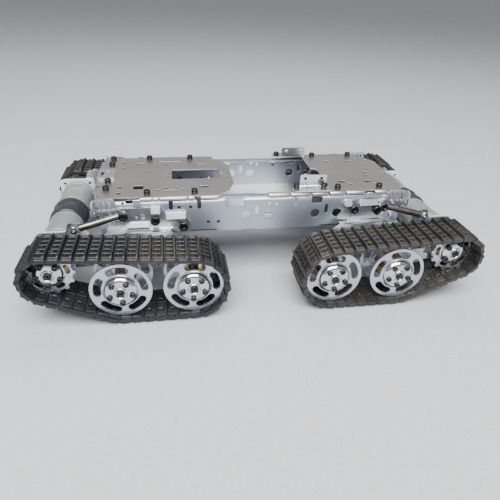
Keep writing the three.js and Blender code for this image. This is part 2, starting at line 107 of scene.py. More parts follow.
class Shader:
    """A node material with helpers for the few textures that every finish uses."""

    def __init__(self, name):
        self.material = bpy.data.materials.new(name)
        self.material.use_nodes = True
        self.nodes = self.material.node_tree.nodes
        self.links = self.material.node_tree.links
        self.base = self.nodes["Principled BSDF"]
        self.place = self.nodes.new("ShaderNodeTexCoord").outputs["Object"]

    def set(self, **values):
        for key, value in values.items():
            self.base.inputs[key.replace("_", " ")].default_value = value
        return self

    def noise(self, scale, stretch, detail, roughness=0.55):
        mapping = self.nodes.new("ShaderNodeMapping")
        mapping.inputs["Scale"].default_value = stretch
        texture = self.nodes.new("ShaderNodeTexNoise")
        texture.inputs["Scale"].default_value = scale
        texture.inputs["Detail"].default_value = detail
        texture.inputs["Roughness"].default_value = roughness
        self.links.new(self.place, mapping.inputs["Vector"])
        self.links.new(mapping.outputs["Vector"], texture.inputs["Vector"])
        return texture.outputs["Fac"]

    def ramp(self, factor, stops):
        ramp = self.nodes.new("ShaderNodeValToRGB")
        elements = ramp.color_ramp.elements
        while len(elements) < len(stops):
            elements.new(0.5)
        for element, (position, color) in zip(elements, stops):
            element.position = position
            element.color = color if len(color) == 4 else (*color, 1)
        self.links.new(factor, ramp.inputs["Fac"])
        return ramp.outputs["Color"]

    def mix(self, factor, first, second):
        node = self.nodes.new("ShaderNodeMix")
        node.data_type = "RGBA"
        self.links.new(factor, node.inputs["Factor"])
        for socket, value in ((node.inputs["A"], first), (node.inputs["B"], second)):
            if isinstance(value, tuple):
                socket.default_value = (*value, 1)
            else:
                self.links.new(value, socket)
        return node.outputs["Result"]

    def remap(self, factor, low, high):
        node = self.nodes.new("ShaderNodeMapRange")
        node.inputs["To Min"].default_value = low
        node.inputs["To Max"].default_value = high
        self.links.new(factor, node.inputs["Value"])
        return node.outputs["Result"]

    def color(self, output):
        self.links.new(output, self.base.inputs["Base Color"])
        return self

    def roughness(self, output):
        self.links.new(output, self.base.inputs["Roughness"])
        return self

    def bump(self, height, strength, distance):
        node = self.nodes.new("ShaderNodeBump")
        node.inputs["Strength"].default_value = strength
        node.inputs["Distance"].default_value = distance
        self.links.new(height, node.inputs["Height"])
        self.links.new(node.outputs["Normal"], self.base.inputs["Normal"])
        return self


def brushed_metal(name, dark, light, rough, metallic, grain=(2, 30, 30)):
    """Rolled sheet metal: faint grain along one direction, soft smudges and slight colour drift."""
    shader = Shader(name).set(Metallic=metallic)
    grain_lines = shader.noise(140, grain, 4, 0.5)
    smudges = shader.noise(26, (1, 1, 1), 5)
    tint = shader.ramp(smudges, [(0.3, dark), (0.7, light)])
    shader.color(shader.mix(shader.remap(grain_lines, 0.0, 0.3), tint, light))
    shader.roughness(shader.remap(smudges, *rough))
    return shader.bump(smudges, 0.02, 0.0001).material


def sheet_with_painted_shade(name, middle, reach, shaded_tone, bright):
    """Floor sheet with painted light under the opening and painted shade, a darker colour, towards both ends.
    """
    shader = Shader(name).set(Metallic=0.45)
    parts = shader.nodes.new("ShaderNodeSeparateXYZ")
    shader.links.new(shader.place, parts.inputs["Vector"])
    offset = shader.nodes.new("ShaderNodeMath")
    offset.operation = "SUBTRACT"
    offset.inputs[1].default_value = middle
    shader.links.new(parts.outputs["X"], offset.inputs[0])
    distance = shader.nodes.new("ShaderNodeMath")
    distance.operation = "ABSOLUTE"
    shader.links.new(offset.outputs["Value"], distance.inputs[0])
    # Painted shade: past the given reach from the middle in X, the colour turns to the shaded tone.
    shade_fade = shader.nodes.new("ShaderNodeMapRange")
    shade_fade.inputs["From Min"].default_value = reach
    shade_fade.inputs["From Max"].default_value = reach + 0.02
    shader.links.new(distance.outputs["Value"], shade_fade.inputs["Value"])
    smudges = shader.noise(26, (1, 1, 1), 5)
    # Painted light: the middle keeps a near-white tone that stands in for light falling through the opening.
    plain_tone = shader.ramp(smudges, [(0.3, bright), (0.7, tuple(c * 1.06 for c in bright))])
    shader.color(shader.mix(shade_fade.outputs["Result"], plain_tone, shaded_tone))
    shader.roughness(shader.remap(smudges, 0.2, 0.3))
    return shader.bump(smudges, 0.02, 0.0001).material


def machined_metal(name, dark, light, rough):
    """Turned and polished aluminium with a little handling wear."""
    shader = Shader(name).set(Metallic=1.0)
    wear = shader.noise(90, (1, 1, 1), 6)
    fine = shader.noise(900, (1, 1, 1), 2)
    shader.color(shader.ramp(wear, [(0.3, dark), (0.65, light)]))
    shader.roughness(shader.remap(wear, *rough))
    return shader.bump(fine, 0.08, 0.00003).material


def black_oxide(name):
    """Blackened steel screws: dark, oily, with brighter rubbed patches."""
    shader = Shader(name).set(Metallic=0.85, Specular_IOR_Level=0.6)
    rub = shader.noise(700, (1, 1, 1), 4)
    shader.color(shader.ramp(rub, [(0.35, (0.014, 0.014, 0.015)), (0.75, (0.10, 0.097, 0.095))]))
    shader.roughness(shader.remap(rub, 0.22, 0.42))
    return shader.bump(rub, 0.1, 0.00004).material


def track_plastic(name, dust_from):
    """Moulded black track links with a film of brown dust; a low start makes the dust spread wider."""
    shader = Shader(name).set(Metallic=0.0, Specular_IOR_Level=0.55)
    patches = shader.noise(16, (1, 1, 1), 6, 0.65)
    specks = shader.noise(650, (1, 1, 1), 4, 0.6)
    dusty = shader.ramp(patches, [(dust_from, (0.0, 0.0, 0.0)), (dust_from + 0.25, (0.8, 0.8, 0.8))])
    plain_tone = shader.ramp(specks, [(0.3, (0.004, 0.0045, 0.005)), (0.75, (0.017, 0.018, 0.0195))])
    dust = shader.ramp(specks, [(0.3, (0.016, 0.014, 0.0115)), (0.7, (0.070, 0.062, 0.050))])
    shader.color(shader.mix(dusty, plain_tone, dust))
    shader.roughness(shader.remap(patches, 0.28, 0.55))
    return shader.bump(specks, 0.3, 0.00012).material


def satin_cover(name, dark, light, metallic, rough):
    """Plated or moulded casings: even colour with fine grain."""
    shader = Shader(name).set(Metallic=metallic)
    clouds = shader.noise(45, (1, 1, 1), 5)
    fine = shader.noise(1200, (1, 1, 1), 2)
    shader.color(shader.ramp(clouds, [(0.3, dark), (0.7, light)]))
    shader.roughness(shader.remap(clouds, *rough))
    return shader.bump(fine, 0.12, 0.00003).material


FINISH = {
    # The rail's bluish tint is a painted reflection of a blue surround.
    "rail": brushed_metal("rail_metal_blue_painted_reflection", (0.41, 0.46, 0.54), (0.49, 0.54, 0.61), (0.34, 0.40), 0.88),
    # The deck's brown-grey tint is a painted reflection of a brownish room.
    "deck": brushed_metal("deck_metal_brown_painted_reflection", (0.50, 0.475, 0.45), (0.57, 0.545, 0.52), (0.26, 0.34), 0.9),
    "bracket": brushed_metal("bracket_metal", (0.70, 0.73, 0.77), (0.81, 0.83, 0.87), (0.2, 0.3), 0.95),
    # The floor sheet's colour is painted light in the middle and painted shade at both ends.
    "floor_plate": sheet_with_painted_shade("floor_metal_painted_shade", 0.012, 0.026, (0.15, 0.16, 0.18), (0.92, 0.925, 0.93)),
    # The discs' blue-grey tint is a painted reflection of a blue surround.
    "wheel": brushed_metal("disc_metal_blue_painted_reflection", (0.50, 0.55, 0.64), (0.58, 0.63, 0.72), (0.22, 0.32), 0.9,
                           (9, 9, 9)),
    "hub": machined_metal("hub_metal", (0.54, 0.56, 0.59), (0.72, 0.74, 0.77), (0.09, 0.17)),
    "steel": machined_metal("axle_steel", (0.44, 0.44, 0.45), (0.58, 0.57, 0.57), (0.2, 0.34)),
    "rod": machined_metal("rod_steel", (0.17, 0.155, 0.15), (0.30, 0.275, 0.265), (0.16, 0.26)),
    "motor": satin_cover("motor_case", (0.26, 0.31, 0.29), (0.34, 0.39, 0.36), 0.35, (0.3, 0.4)),
    "flange": satin_cover("motor_flange", (0.76, 0.79, 0.80), (0.84, 0.86, 0.87), 0.3, (0.25, 0.35)),
    "plastic": satin_cover("cap_plastic", (0.016, 0.018, 0.023), (0.034, 0.038, 0.046), 0.0, (0.3, 0.42)),
    "track_rear": track_plastic("track_links_clean", 0.5),
    "track_front": track_plastic("track_links_dusty", 0.36),
    "black_oxide": black_oxide("screw_black"),
    "brass": machined_metal("spacer_brass", (0.70, 0.42, 0.10), (0.92, 0.64, 0.22), (0.16, 0.28)),
}

# ------------------------------------------------------------------ outlines

SLOT_STEPS = 6


def arc(cx, cy, radius, start, end, steps):
    return [
        (cx + radius * math.cos(a), cy + radius * math.sin(a))
        for a in (start + (end - start) * i / steps for i in range(steps + 1))
    ]


def circle(cx, cy, radius, steps=24):
    return arc(cx, cy, radius, 0, 2 * math.pi * (steps - 1) / steps, steps - 1)


def slot(cx, cy, length, width, angle=0.0):
    r = width / 2
    dx = (length / 2 - r) * math.cos(angle)
    dy = (length / 2 - r) * math.sin(angle)
    quarter = math.pi / 2
    right = arc(cx + dx, cy + dy, r, angle - quarter, angle + quarter, SLOT_STEPS)
    return right + arc(cx - dx, cy - dy, r, angle + quarter, angle + 3 * quarter, SLOT_STEPS)


def rounded(points, radius, steps=3):
    """Round the corners of a polygon, never by more than a third of a side."""
    result = []
    count = len(points)
    for i, point in enumerate(points):
        corner = Vector(point)
        back = Vector(points[i - 1]) - corner
        ahead = Vector(points[(i + 1) % count]) - corner
        reach = min(radius, back.length / 3, ahead.length / 3)
        start = corner + back.normalized() * reach
        end = corner + ahead.normalized() * reach
        for k in range(steps + 1):
            t = k / steps
            result.append(tuple((1 - t) ** 2 * start + 2 * t * (1 - t) * corner + t ** 2 * end))
    return result


def box_outline(x0, x1, y0, y1, radius=0.6):
    return rounded([(x0, y0), (x1, y0), (x1, y1), (x0, y1)], radius, 2)


# ------------------------------------------------------------------ meshes


def curved(bm):
    """Mark every face as part of a rounded surface, shaded smoothly."""
    for face in bm.faces:
        face.smooth = True
    return bm


def sheet(outline, holes=(), thickness=SHEET, bevel=0.22):
    """A flat plate in the XY plane, centred on Z = 0, with softened edges."""
    curve = bpy.data.curves.new("sheet", "CURVE")
    curve.dimensions = "2D"
    curve.fill_mode = "BOTH"
    curve.extrude = thickness / 2 - bevel
    curve.bevel_depth = bevel
    curve.bevel_resolution = 1
    curve.offset = -bevel
    for points in (outline, *holes):
        spline = curve.splines.new("POLY")
        spline.points.add(len(points) - 1)
        spline.use_cyclic_u = True
        for target, (x, y) in zip(spline.points, points):
            target.co = (x, y, 0, 1)
    holder = bpy.data.objects.new("sheet", curve)
    bpy.context.scene.collection.objects.link(holder)
    graph = bpy.context.evaluated_depsgraph_get()
    flat = bpy.data.meshes.new_from_object(holder.evaluated_get(graph))
    bm = bmesh.new()
    bm.from_mesh(flat)
    bmesh.ops.remove_doubles(bm, verts=bm.verts, dist=0.002)
    bmesh.ops.recalc_face_normals(bm, faces=bm.faces)
    for face in bm.faces:
        face.smooth = abs(face.normal.z) < FLAT_NORMAL
    bpy.data.objects.remove(holder)
    bpy.data.curves.remove(curve)
    bpy.data.meshes.remove(flat)
    return bm


def smooth_folds(bm):
    """The strips inside a fold are rounded; the flat faces on both sides of it stay flat."""
    bm.normal_update()
    for face in bm.faces:
        if 1 - FLAT_NORMAL < abs(face.normal.z) < FLAT_NORMAL:
            face.smooth = True
    return bm


FOLD_STEPS = 6


def bend(bm, start, radius, side=1, up=True):
    """Fold what lies beyond y = start, on one side, through a right angle about a line along X."""
    angle = math.pi / 2
    length = radius * angle
    for k in range(FOLD_STEPS + 1):
        everything = bm.verts[:] + bm.edges[:] + bm.faces[:]
        line = Vector((0, side * (start + length * k / FOLD_STEPS), 0))
        bmesh.ops.bisect_plane(bm, geom=everything, dist=1e-5, plane_co=line, plane_no=(0, 1, 0))
    lift = 1 if up else -1
    for vert in bm.verts:
        y = vert.co.y * side
        if y <= start:
            continue
        turn = min((y - start) / radius, angle)
        beyond = max(0.0, y - start - length)
        depth = radius - vert.co.z * lift
        vert.co.y = side * (start + depth * math.sin(turn) + beyond * math.cos(turn))
        vert.co.z = lift * (radius - depth * math.cos(turn) + beyond * math.sin(turn))
    return smooth_folds(bm)


def move(bm, x, y, z):
    bmesh.ops.translate(bm, verts=bm.verts, vec=(x, y, z))
    return bm


def stand(bm, y):
    """Turn a sheet drawn in X and Z upright, with its outer face at the given Y."""
    bm.transform(Matrix.Rotation(math.pi / 2, 4, "X"))
    top = max(v.co.y for v in bm.verts)
    return move(bm, 0, y - top, 0)


def lathe(profile, steps, cx=0.0, cz=0.0):
    """Revolve (radius, y) points about an axis along Y through (cx, cz)."""
    bm = bmesh.new()
    rings = []
    for radius, y in profile:
        if radius < 1e-6:
            rings.append([bm.verts.new((cx, y, cz))])
            continue
        angles = [2 * math.pi * i / steps for i in range(steps)]
        places = [(cx + radius * math.cos(a), y, cz + radius * math.sin(a)) for a in angles]
        rings.append([bm.verts.new(place) for place in places])
    for lower, upper in zip(rings, rings[1:]):
        for i in range(steps):
            j = (i + 1) % steps
            below = [lower[i % len(lower)], lower[j % len(lower)]]
            above = [upper[j % len(upper)], upper[i % len(upper)]]
            unique = list(dict.fromkeys(below + above))
            if len(unique) > 2:
                bm.faces.new(unique)
    if len(rings[0]) > 1 and len(rings[-1]) > 1 and profile[0] == profile[-1]:
        bmesh.ops.remove_doubles(bm, verts=rings[0] + rings[-1], dist=0.001)
    bmesh.ops.recalc_face_normals(bm, faces=bm.faces)
    return curved(bm)


def merged(*parts):
    whole = bmesh.new()
    for part in parts:
        mesh = bpy.data.meshes.new("part")
        part.to_mesh(mesh)
        part.free()
        whole.from_mesh(mesh)
        bpy.data.meshes.remove(mesh)
    return whole


def reflected(bm, sign_x, sign_y):
    bm.transform(Matrix.Diagonal((sign_x, sign_y, 1, 1)))
    if sign_x * sign_y < 0:
        bmesh.ops.reverse_faces(bm, faces=bm.faces)
    return bm


SMOOTH_ANGLE = math.radians(28)


def piece(name, bm, finish, body="root", replaces=()):
    """Make the object, scale it to metres, and tell the frame where it belongs."""
    bmesh.ops.scale(bm, vec=(MM, MM, MM), verts=bm.verts)
    mesh = bpy.data.meshes.new(name)
    bm.to_mesh(mesh)
    bm.free()
    rounded_faces = [polygon.use_smooth for polygon in mesh.polygons]
    mesh.set_sharp_from_angle(angle=SMOOTH_ANGLE)
    mesh.polygons.foreach_set("use_smooth", rounded_faces)
    mesh.materials.append(FINISH[finish])
    item = bpy.data.objects.new(name, mesh)
    bpy.context.scene.collection.objects.link(item)
    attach(item, body)
    if replaces:
        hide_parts(*replaces)
    return item


# ------------------------------------------------------------------ fasteners

# Head radius, head height and socket size of each kind of screw.
DECK_SCREW = (2.9, 4.0, 2.6)
BRACKET_SCREW = (4.2, 4.6, 2.9)
ROD_SCREW = (4.2, 3.6, 2.9)
MOUNT_SCREW = (2.75, 2.6, 2.5)
HUB_SCREW = (2.5, 4.0, 1.8)
HUB_CENTRE_SCREW = (3.3, 2.4, 2.3)
SCREW_STEPS = 24


def hexagon_radius(across, angle):
    sector = math.pi / 3
    local = (angle + sector / 2) % sector - sector / 2
    return across / 2 / math.cos(local)


def socket_screw(radius, height, socket):
    """Cap-head screw standing on Z = 0: chamfered head with a hexagonal socket."""
    bm = bmesh.new()
    edge = radius * 0.12
    depth = height * 0.55
    rings = [
        (radius * 0.96, 0.0, False), (radius, edge, False), (radius, height - edge, False),
        (radius - edge, height, False), (socket * 0.68, height, False), (socket, height - edge, True),
        (socket, height - depth, True),
    ]
    loops = []
    for size, z, hexagonal in rings:
        loop = []
        for i in range(SCREW_STEPS):
            a = 2 * math.pi * i / SCREW_STEPS
            r = hexagon_radius(size, a) if hexagonal else size
            loop.append(bm.verts.new((r * math.cos(a), r * math.sin(a), z)))
        loops.append(loop)
    for lower, upper in zip(loops, loops[1:]):
        for i in range(SCREW_STEPS):
            j = (i + 1) % SCREW_STEPS
            bm.faces.new((lower[i], lower[j], upper[j], upper[i]))
    bm.faces.new(loops[-1])
    bm.faces.new(list(reversed(loops[0])))
    return curved(bm)


def screws(places, radius, height, socket, normal="Z"):
    """Screws whose heads stand on the given points, with the heads pointing along an axis."""
    turns = {
        "Z": Matrix.Identity(4),
        "Y": Matrix.Rotation(-math.pi / 2, 4, "X"),
        "X": Matrix.Rotation(math.pi / 2, 4, "Y"),
    }
    parts = []
    for i, (x, y, z) in enumerate(places):
        one = socket_screw(radius, height, socket)
        one.transform(Matrix.Rotation(0.7 * i, 4, "Z"))
        one.transform(turns[normal])
        parts.append(move(one, x, y, z))
    return merged(*parts)


# ------------------------------------------------------------------ body

ROUND_HOLES_X = (-10.7, 10.9, 56.7, 78.3)
FOLD_START = RAIL_TOP - RAIL_FOLD - SHEET / 2


def side_rail():
    """Flat pattern in X and height, folded inwards along the top."""
    reach = FOLD_START - RAIL_BOTTOM
    fold_length = RAIL_FOLD * math.pi / 2
    top = reach + fold_length + (RAIL_OUT - SHEET / 2 - RAIL_FOLD - FLANGE_IN)
    outline = rounded([
        (-BODY_END, 2), (-38, 2), (-37, 0), (-14, 0), (-13, 1.2), (-2, 1.2), (-1, 0), (62, 0), (63, 2),
        (BODY_END, 2), (BODY_END, top), (27, top), (26, top - 1.6), (2, top - 1.6), (1, top),
        (-BODY_END, top),
    ], 0.8, 2)
    z = RAIL_BOTTOM
    holes = [circle(x, 69.7 - z, 4.5, 32) for x in ROUND_HOLES_X]
    holes += [slot(x, 74.3 - z, 9.5, 3.8, math.pi / 2) for x in (0.1, 67.5)]
    holes += [slot(36.8, 82.0 - z, 8.5, 3.4, math.pi / 2)]
    tab = [(-80.8, 79.5), (-79, 78.3), (-77.2, 79.5), (-77.2, 86.0), (-75, 88.3), (-57.6, 88.3),
           (-55.4, 86.0), (-55.4, 79.5), (-53.6, 78.3), (-51.8, 79.5), (-51.8, 91.2), (-80.8, 91.2)]
    holes.append(rounded([(x, s - z) for x, s in tab], 0.8, 2))
    holes += [circle(x, s - z, 1.6, 16) for x, s in ((-71.7, 80.8), (-61.4, 80.7), (-45.5, 65), (-36.3, 65),
                                                     (11.7, 81.5), (18.6, 80.3))]
    holes += [box_outline(-29.3, -12.2, 80.0 - z, 88.4 - z)]
    holes += [box_outline(51.9, 62.9, 80.4 - z, 86.6 - z, 1.6)]
    holes += [circle(x, reach + fold_length + 2.6, 1.4, 16) for x in (-5, 5.5)]
    holes += [box_outline(-118.4, -110.8, reach + 2.0, reach + 5.8, 0.8), circle(-121, 86 - z, 1.1, 12)]
    bm = bend(sheet(outline, holes), reach, RAIL_FOLD)
    bm.transform(Matrix.Rotation(math.pi / 2, 4, "X"))
    bmesh.ops.translate(bm, verts=bm.verts, vec=(0, RAIL_OUT - SHEET / 2, RAIL_BOTTOM))
    return bm


DECK_FOLD_START = RAIL_OUT - SHEET / 2 - DECK_FOLD
LIP_END = DECK_FOLD_START + DECK_FOLD * math.pi / 2 + 0.9


def with_lips(points_low, points_high, low_lips, high_lips):
    """Deck outline whose long edges carry lip tabs. Low side runs +X, high side runs -X."""
    outline = []
    for (start, corners, end), lips, y_edge, y_lip in ((points_low, low_lips, -DECK_FOLD_START, -LIP_END),
                                                       (points_high, high_lips, DECK_FOLD_START, LIP_END)):
        outline.append((start, y_edge))
        for x0, x1 in lips:
            outline += [(x0, y_edge), (x0, y_lip), (x1, y_lip), (x1, y_edge)]
        outline.append((end, y_edge))
        outline += corners
    return outline


REAR_LIPS = ((-106, -95.3), (-94.7, -89.5), (-88.9, -64), (-63.2, -57.6), (-52, -35))
FRONT_LIPS = ((10.5, 31), (31.8, 51.4), (52.2, 68.4), (69.4, 85), (85.8, 104.8), (114.4, 127))


def rear_deck():
    end = -BODY_END
    tab = end - 6
    right = [(-33, -46), (-24, -39), (-18, -24), (-18, 24), (-24, 38), (-33, 46)]
    left = [(end, 45), (tab, 41), (tab, 24), (end, 20), (end, -6), (tab, -9), (tab, -19), (end, -22),
            (end, -25), (tab, -28), (tab, -38), (end, -41)]
    high = [(x1, x0) for x0, x1 in reversed(REAR_LIPS)]
    outline = with_lips((end, right, -33), (-33, left, end), REAR_LIPS, high)
    x0, x1, y0, y1 = WINDOW
    holes = [box_outline(x0, x1, y0, y1, 1.0)]
    holes += [circle(x, y, 1.7, 16) for x in (-83, -72.5) for y in (-33, 30)]
    holes += [circle(-125, y, 1.9, 16) for y in (-42, -28, 20.8, 37)]
    small = [(-103.2, 11.3), (-103.7, -15.6), (-22.8, 17.3), (-23.1, -20.6), (-27, 2.5), (-27, -3), (-81, 5),
             (-83, 0.5), (-81, -4)]
    holes += [circle(x, y, 1.5, 16) for x, y in small]
    holes += [box_outline(-112, -104.5, 30.5, 33.5), box_outline(-112.5, -103.5, -33.5, -25.5),
              box_outline(-50, -42, 26.6, 29.2), box_outline(-52, -43, -33.5, -29.8, 1.2)]
    holes += [slot(-78, 37.5, 24, 1.6), slot(-78, -38.5, 14, 1.6)]
    holes += [slot(-90, -37, 5, 2.4), slot(-67.8, -37.5, 5, 2.4)]
    return fold_deck(sheet(rounded(outline, 0.9, 2), holes, bevel=DECK_BEVEL))


def front_deck():
    end = BODY_END
    low = [(end, -48), (end + 4, -43), (end + 4, 25), (138, 40), (124, DECK_FOLD_START)]
    high_end = [(34, 50.5), (62, 50.5), (66, 46), (68, 38), (68, 8), (74, 6), (74, -30), (71, -42), (64, -50),
                (10, -50)]
    outline = with_lips((10, low, end), (124, high_end, 34), FRONT_LIPS, ((121, 108), (106, 72), (70, 40)))
    holes = [box_outline(87.5, 95.5, 27.8, 30.6), slot(116.8, 27.6, 8, 3), slot(122.6, -5.6, 6, 3),
             slot(89.5, -29.2, 8, 4.2), slot(95.5, -36, 7, 2.2, -0.9), slot(116.3, -29.9, 8, 4.2),
             slot(121.5, -38, 7, 2.2, -0.9)]
    small = [(137.9, 30.7), (141.5, 20), (128.6, 4.6), (120.8, -15.1), (141.5, 6.3), (140.5, -10.7),
             (139.1, -26.7), (141.5, -36.4)]
    holes += [circle(x, y, M3_HOLE_R, 16) for x, y in small]
    return fold_deck(sheet(rounded(outline, 0.9, 2), holes, bevel=DECK_BEVEL))


def fold_deck(bm):
    for side in (-1, 1):
        bend(bm, DECK_FOLD_START, DECK_FOLD, side, up=False)
    return move(bm, 0, 0, DECK_TOP - SHEET / 2)


def floor_plate():
    end = BODY_END - SHEET - GAP
    side = RAIL_OUT - SHEET - GAP
    holes = [circle(x, 0, 12, 40) for x in (-96, 96)]
    holes += [slot(x, y, 26, 4) for x in (-50, 22) for y in (-22, 22)]
    holes += [circle(x, y, 1.6, 16) for x in (-120, -72, -22, 50, 72, 120) for y in (-42, 42)]
    holes += [slot(x, 30, 6, 2.4) for x in (4, 38)]
    outline = box_outline(-end, end, -side, side, 2)
    return move(sheet(outline, holes), 0, 0, RAIL_BOTTOM + SHEET / 2)


ANGLE_X = (43.0, 69.0)
ANGLE_TOP = 103.5
ANGLE_UPRIGHT = 40.0


def angle_bracket():
    """Foot on the deck and upright tab, folded from one blank."""
    radius = 1.6
    foot_z = DECK_TOP + GAP + SHEET / 2
    fold = -(ANGLE_UPRIGHT + SHEET / 2 + radius)
    tall = ANGLE_TOP - foot_z - radius
    end = fold + radius * math.pi / 2 + tall
    x0, x1 = ANGLE_X
    outline = rounded([(x0 - 8, -RAIL_OUT), (x1 + 1, -RAIL_OUT), (x1 + 1, fold - 1), (x1, fold), (x1, end),
                       (x0, end), (x0, fold), (x0 - 8, fold - 3)], 1.2)
    holes = [circle(x, end - 3.6, 1.6, 16) for x in (x0 + 5, x1 - 5)]
    holes += [slot(52, fold - 2.6, 10, 2.6)]
    shift = -fold
    bm = move(sheet(outline, holes), 0, shift, 0)
    bend(bm, 0.0, radius)
    move(bm, 0, -shift, foot_z)
    return reflected(bm, 1, -1)


def end_plate():
    side = RAIL_OUT - SHEET - GAP
    holes = [circle(y, 72, 4, 24) for y in (-36, 36)]
    holes += [slot(y, 74, 12, 4, math.pi / 2) for y in (-18, 0, 18)]
    holes += [circle(y, 64, 1.8, 16) for y in (-26, 26)]
    outline = box_outline(-side, side, RAIL_BOTTOM + 2, RAIL_TOP - SHEET - GAP, 2)
    bm = stand(sheet(outline, holes), 0)
    bm.transform(Matrix.Rotation(-math.pi / 2, 4, "Z"))
    left = min(v.co.x for v in bm.verts)
    return move(bm, BODY_END - SHEET - left, 0, 0)


def end_tab():
    """Bright slotted tab screwed flat on the rear end of the deck."""
    outline = box_outline(-148, -131, -8.5, 17, 3.0)
    holes = [slot(-143.5, 4, 13, 2.6, math.pi / 2), slot(-139, 8, 8, 2.2, math.pi / 2)]
    holes += [circle(-135, 11, 1.5, 16), circle(-139, -3.5, 1.4, 16)]
    return move(sheet(outline, holes), 0, 0, DECK_TOP + GAP + SHEET / 2)


piece("rail_right", reflected(side_rail(), 1, -1), "rail", replaces=["side_rail_right"])
piece("rail_left", side_rail(), "rail", replaces=["side_rail_left"])
piece("floor_sheet", floor_plate(), "floor_plate", replaces=["floor_plate"])
piece("rear_deck", rear_deck(), "deck", replaces=["deck_plate_rear"])
piece("front_deck", front_deck(), "deck", replaces=["deck_plate_front"])
piece("angle_right", reflected(angle_bracket(), 1, -1), "bracket",
      replaces=["angle_bracket_right"])
piece("angle_left", angle_bracket(), "bracket", replaces=["angle_bracket_left"])
piece("end_front", end_plate(), "bracket", replaces=["end_plate_front"])
piece("end_rear", reflected(end_plate(), -1, 1), "bracket", replaces=["end_plate_rear"])
piece("end_tab", end_tab(), "bracket")

DECK_SCREW_ROW = 46.0
deck_screws = [(x, side * DECK_SCREW_ROW, DECK_TOP) for x in (-99.6, -57.0, 79.3, 121.3) for side in (-1, 1)]
deck_screws += [(-136.5, y, DECK_TOP) for y in (45.5, 28.5, -16.0, -34.0)]
deck_screws += [(38.4, side * DECK_SCREW_ROW, DECK_TOP + GAP + SHEET) for side in (-1, 1)]
deck_screws += [(65.1, side * DECK_SCREW_ROW, DECK_TOP + GAP + SHEET) for side in (-1, 1)]
piece("deck_screws", screws(deck_screws, *DECK_SCREW), "black_oxide")

# ------------------------------------------------------------------ track unit

BRACKET_END = 147.0
TAIL_BOTTOM = 76.0
TAIL_TOP = 91.5


def flap(x0, x1, top, drop, out):
    """Small tab leaning out from the bracket face, bright because it faces up."""
    size = math.hypot(drop, out)
    bm = sheet(box_outline(x0, x1, 0, size, 1.2), thickness=1.2, bevel=0.3)
    bm.transform(Matrix.Rotation(math.pi / 2 + math.atan2(out, drop), 4, "X"))
    return move(bm, 0, BRACKET_OUT + out + 0.2, top - drop)


def shelf_edge(x0, x1, z, out):
    """Rolled bright edge along the bracket's lower shelf, with a slanting inner end."""
    low = z - 1.2
    outline = rounded([(x0 - 6, z - 5), (x0, z), (x1, z), (x1, low), (x0, low), (x0 - 5, z - 5.6)], 0.5, 2)
    return stand(sheet(outline, thickness=1.6, bevel=0.5), out)


def wall_bracket(front):
    """Plate on the outside of the rail, with a slotted tail and a flange turned out at the end."""
    tail = [(BRACKET_END - 3, TAIL_BOTTOM), (BRACKET_END - 3, TAIL_TOP), (128, TAIL_TOP), (125, 82.5)]
    if front:
        body = [(118, 80.7), (100, 81), (96, 83), (85.3, 83), (82, 80), (85.6, 74), (79, 67), (79, 64.5),
                (86, 62.5), (122, 62.5), (125, 59.8), (131, 59.8), (134.5, 63), (134.5, 69), (131, 73),
                (133, TAIL_BOTTOM)]
        big = [(93.6, 74.2), (117.0, 72.6)]
        flaps = [flap(83.5, 91, 84, 6.0, 3.2), flap(98.5, 117, 83.5, 5.5, 3.0)]
        flaps += [shelf_edge(90, 122, 62.4, BRACKET_OUT + 1.9)]
        holes = [circle(129, 66.3, 3.6, 28), circle(133.6, 79.4, 1.6, 16)]
    else:
        body = [(120, 82.5), (97.5, 82.5), (97, 83), (88, 83), (84.5, 76.5), (65, 76.5), (65, 70.5),
                (61.5, 68), (61.5, 57.6), (139, 57.6), (134, 69), (137, TAIL_BOTTOM)]
        big = [(93.3, 70.4), (68.4, 63.9)]
        flaps = [flap(88.5, 97, 83.5, 6.0, 3.2), flap(66, 84, 77.2, 5.6, 3.0)]
        flaps += [flap(98.5, 120, 68.5, 4.4, 2.6)]
        flaps += [shelf_edge(78, 124, 62.2, BRACKET_OUT + 1.9)]
        holes = [circle(104, 73.5, 2.4, 20), circle(110, 72.5, 1.2, 12)]
        holes += [box_outline(131, 134, 77.5, 79, 0.5)]
    holes += [slot(x, 85, 8.5, 2.3, math.pi / 2) for x in (132, 137, 141.5)]
    plate = stand(sheet(rounded(tail + body, 1.4), holes), BRACKET_OUT)
    ear = stand(sheet(box_outline(0, 7, 0, TAIL_TOP - TAIL_BOTTOM, 2.2),
                      [slot(4, 7.5, 8, 1.8, math.pi / 2)]), 0)
    ear.transform(Matrix.Rotation(math.radians(76), 4, "Z"))
    move(ear, BRACKET_END - 3, BRACKET_IN, TAIL_BOTTOM)
    hook = flap(105, 112, 90.5, 5.0, 1.6)
    heads = screws([(x, BRACKET_OUT, z) for x, z in big], *BRACKET_SCREW, "Y")
    inside = RAIL_OUT - SHEET
    nuts = [lathe([(0, inside - 3), (3.5, inside - 3), (3.5, inside), (0, inside)], 6, x, z) for x, z in big]
    return merged(plate, ear, hook, *flaps), merged(heads, *nuts)


def mount_holes():
    """The four bolts on the corners of the motor's mounting square."""
    return [(SPROCKET_X + MOUNT_BOLT * i, SPROCKET_Z + MOUNT_BOLT * k) for i in (-1, 1) for k in (-1, 1)]


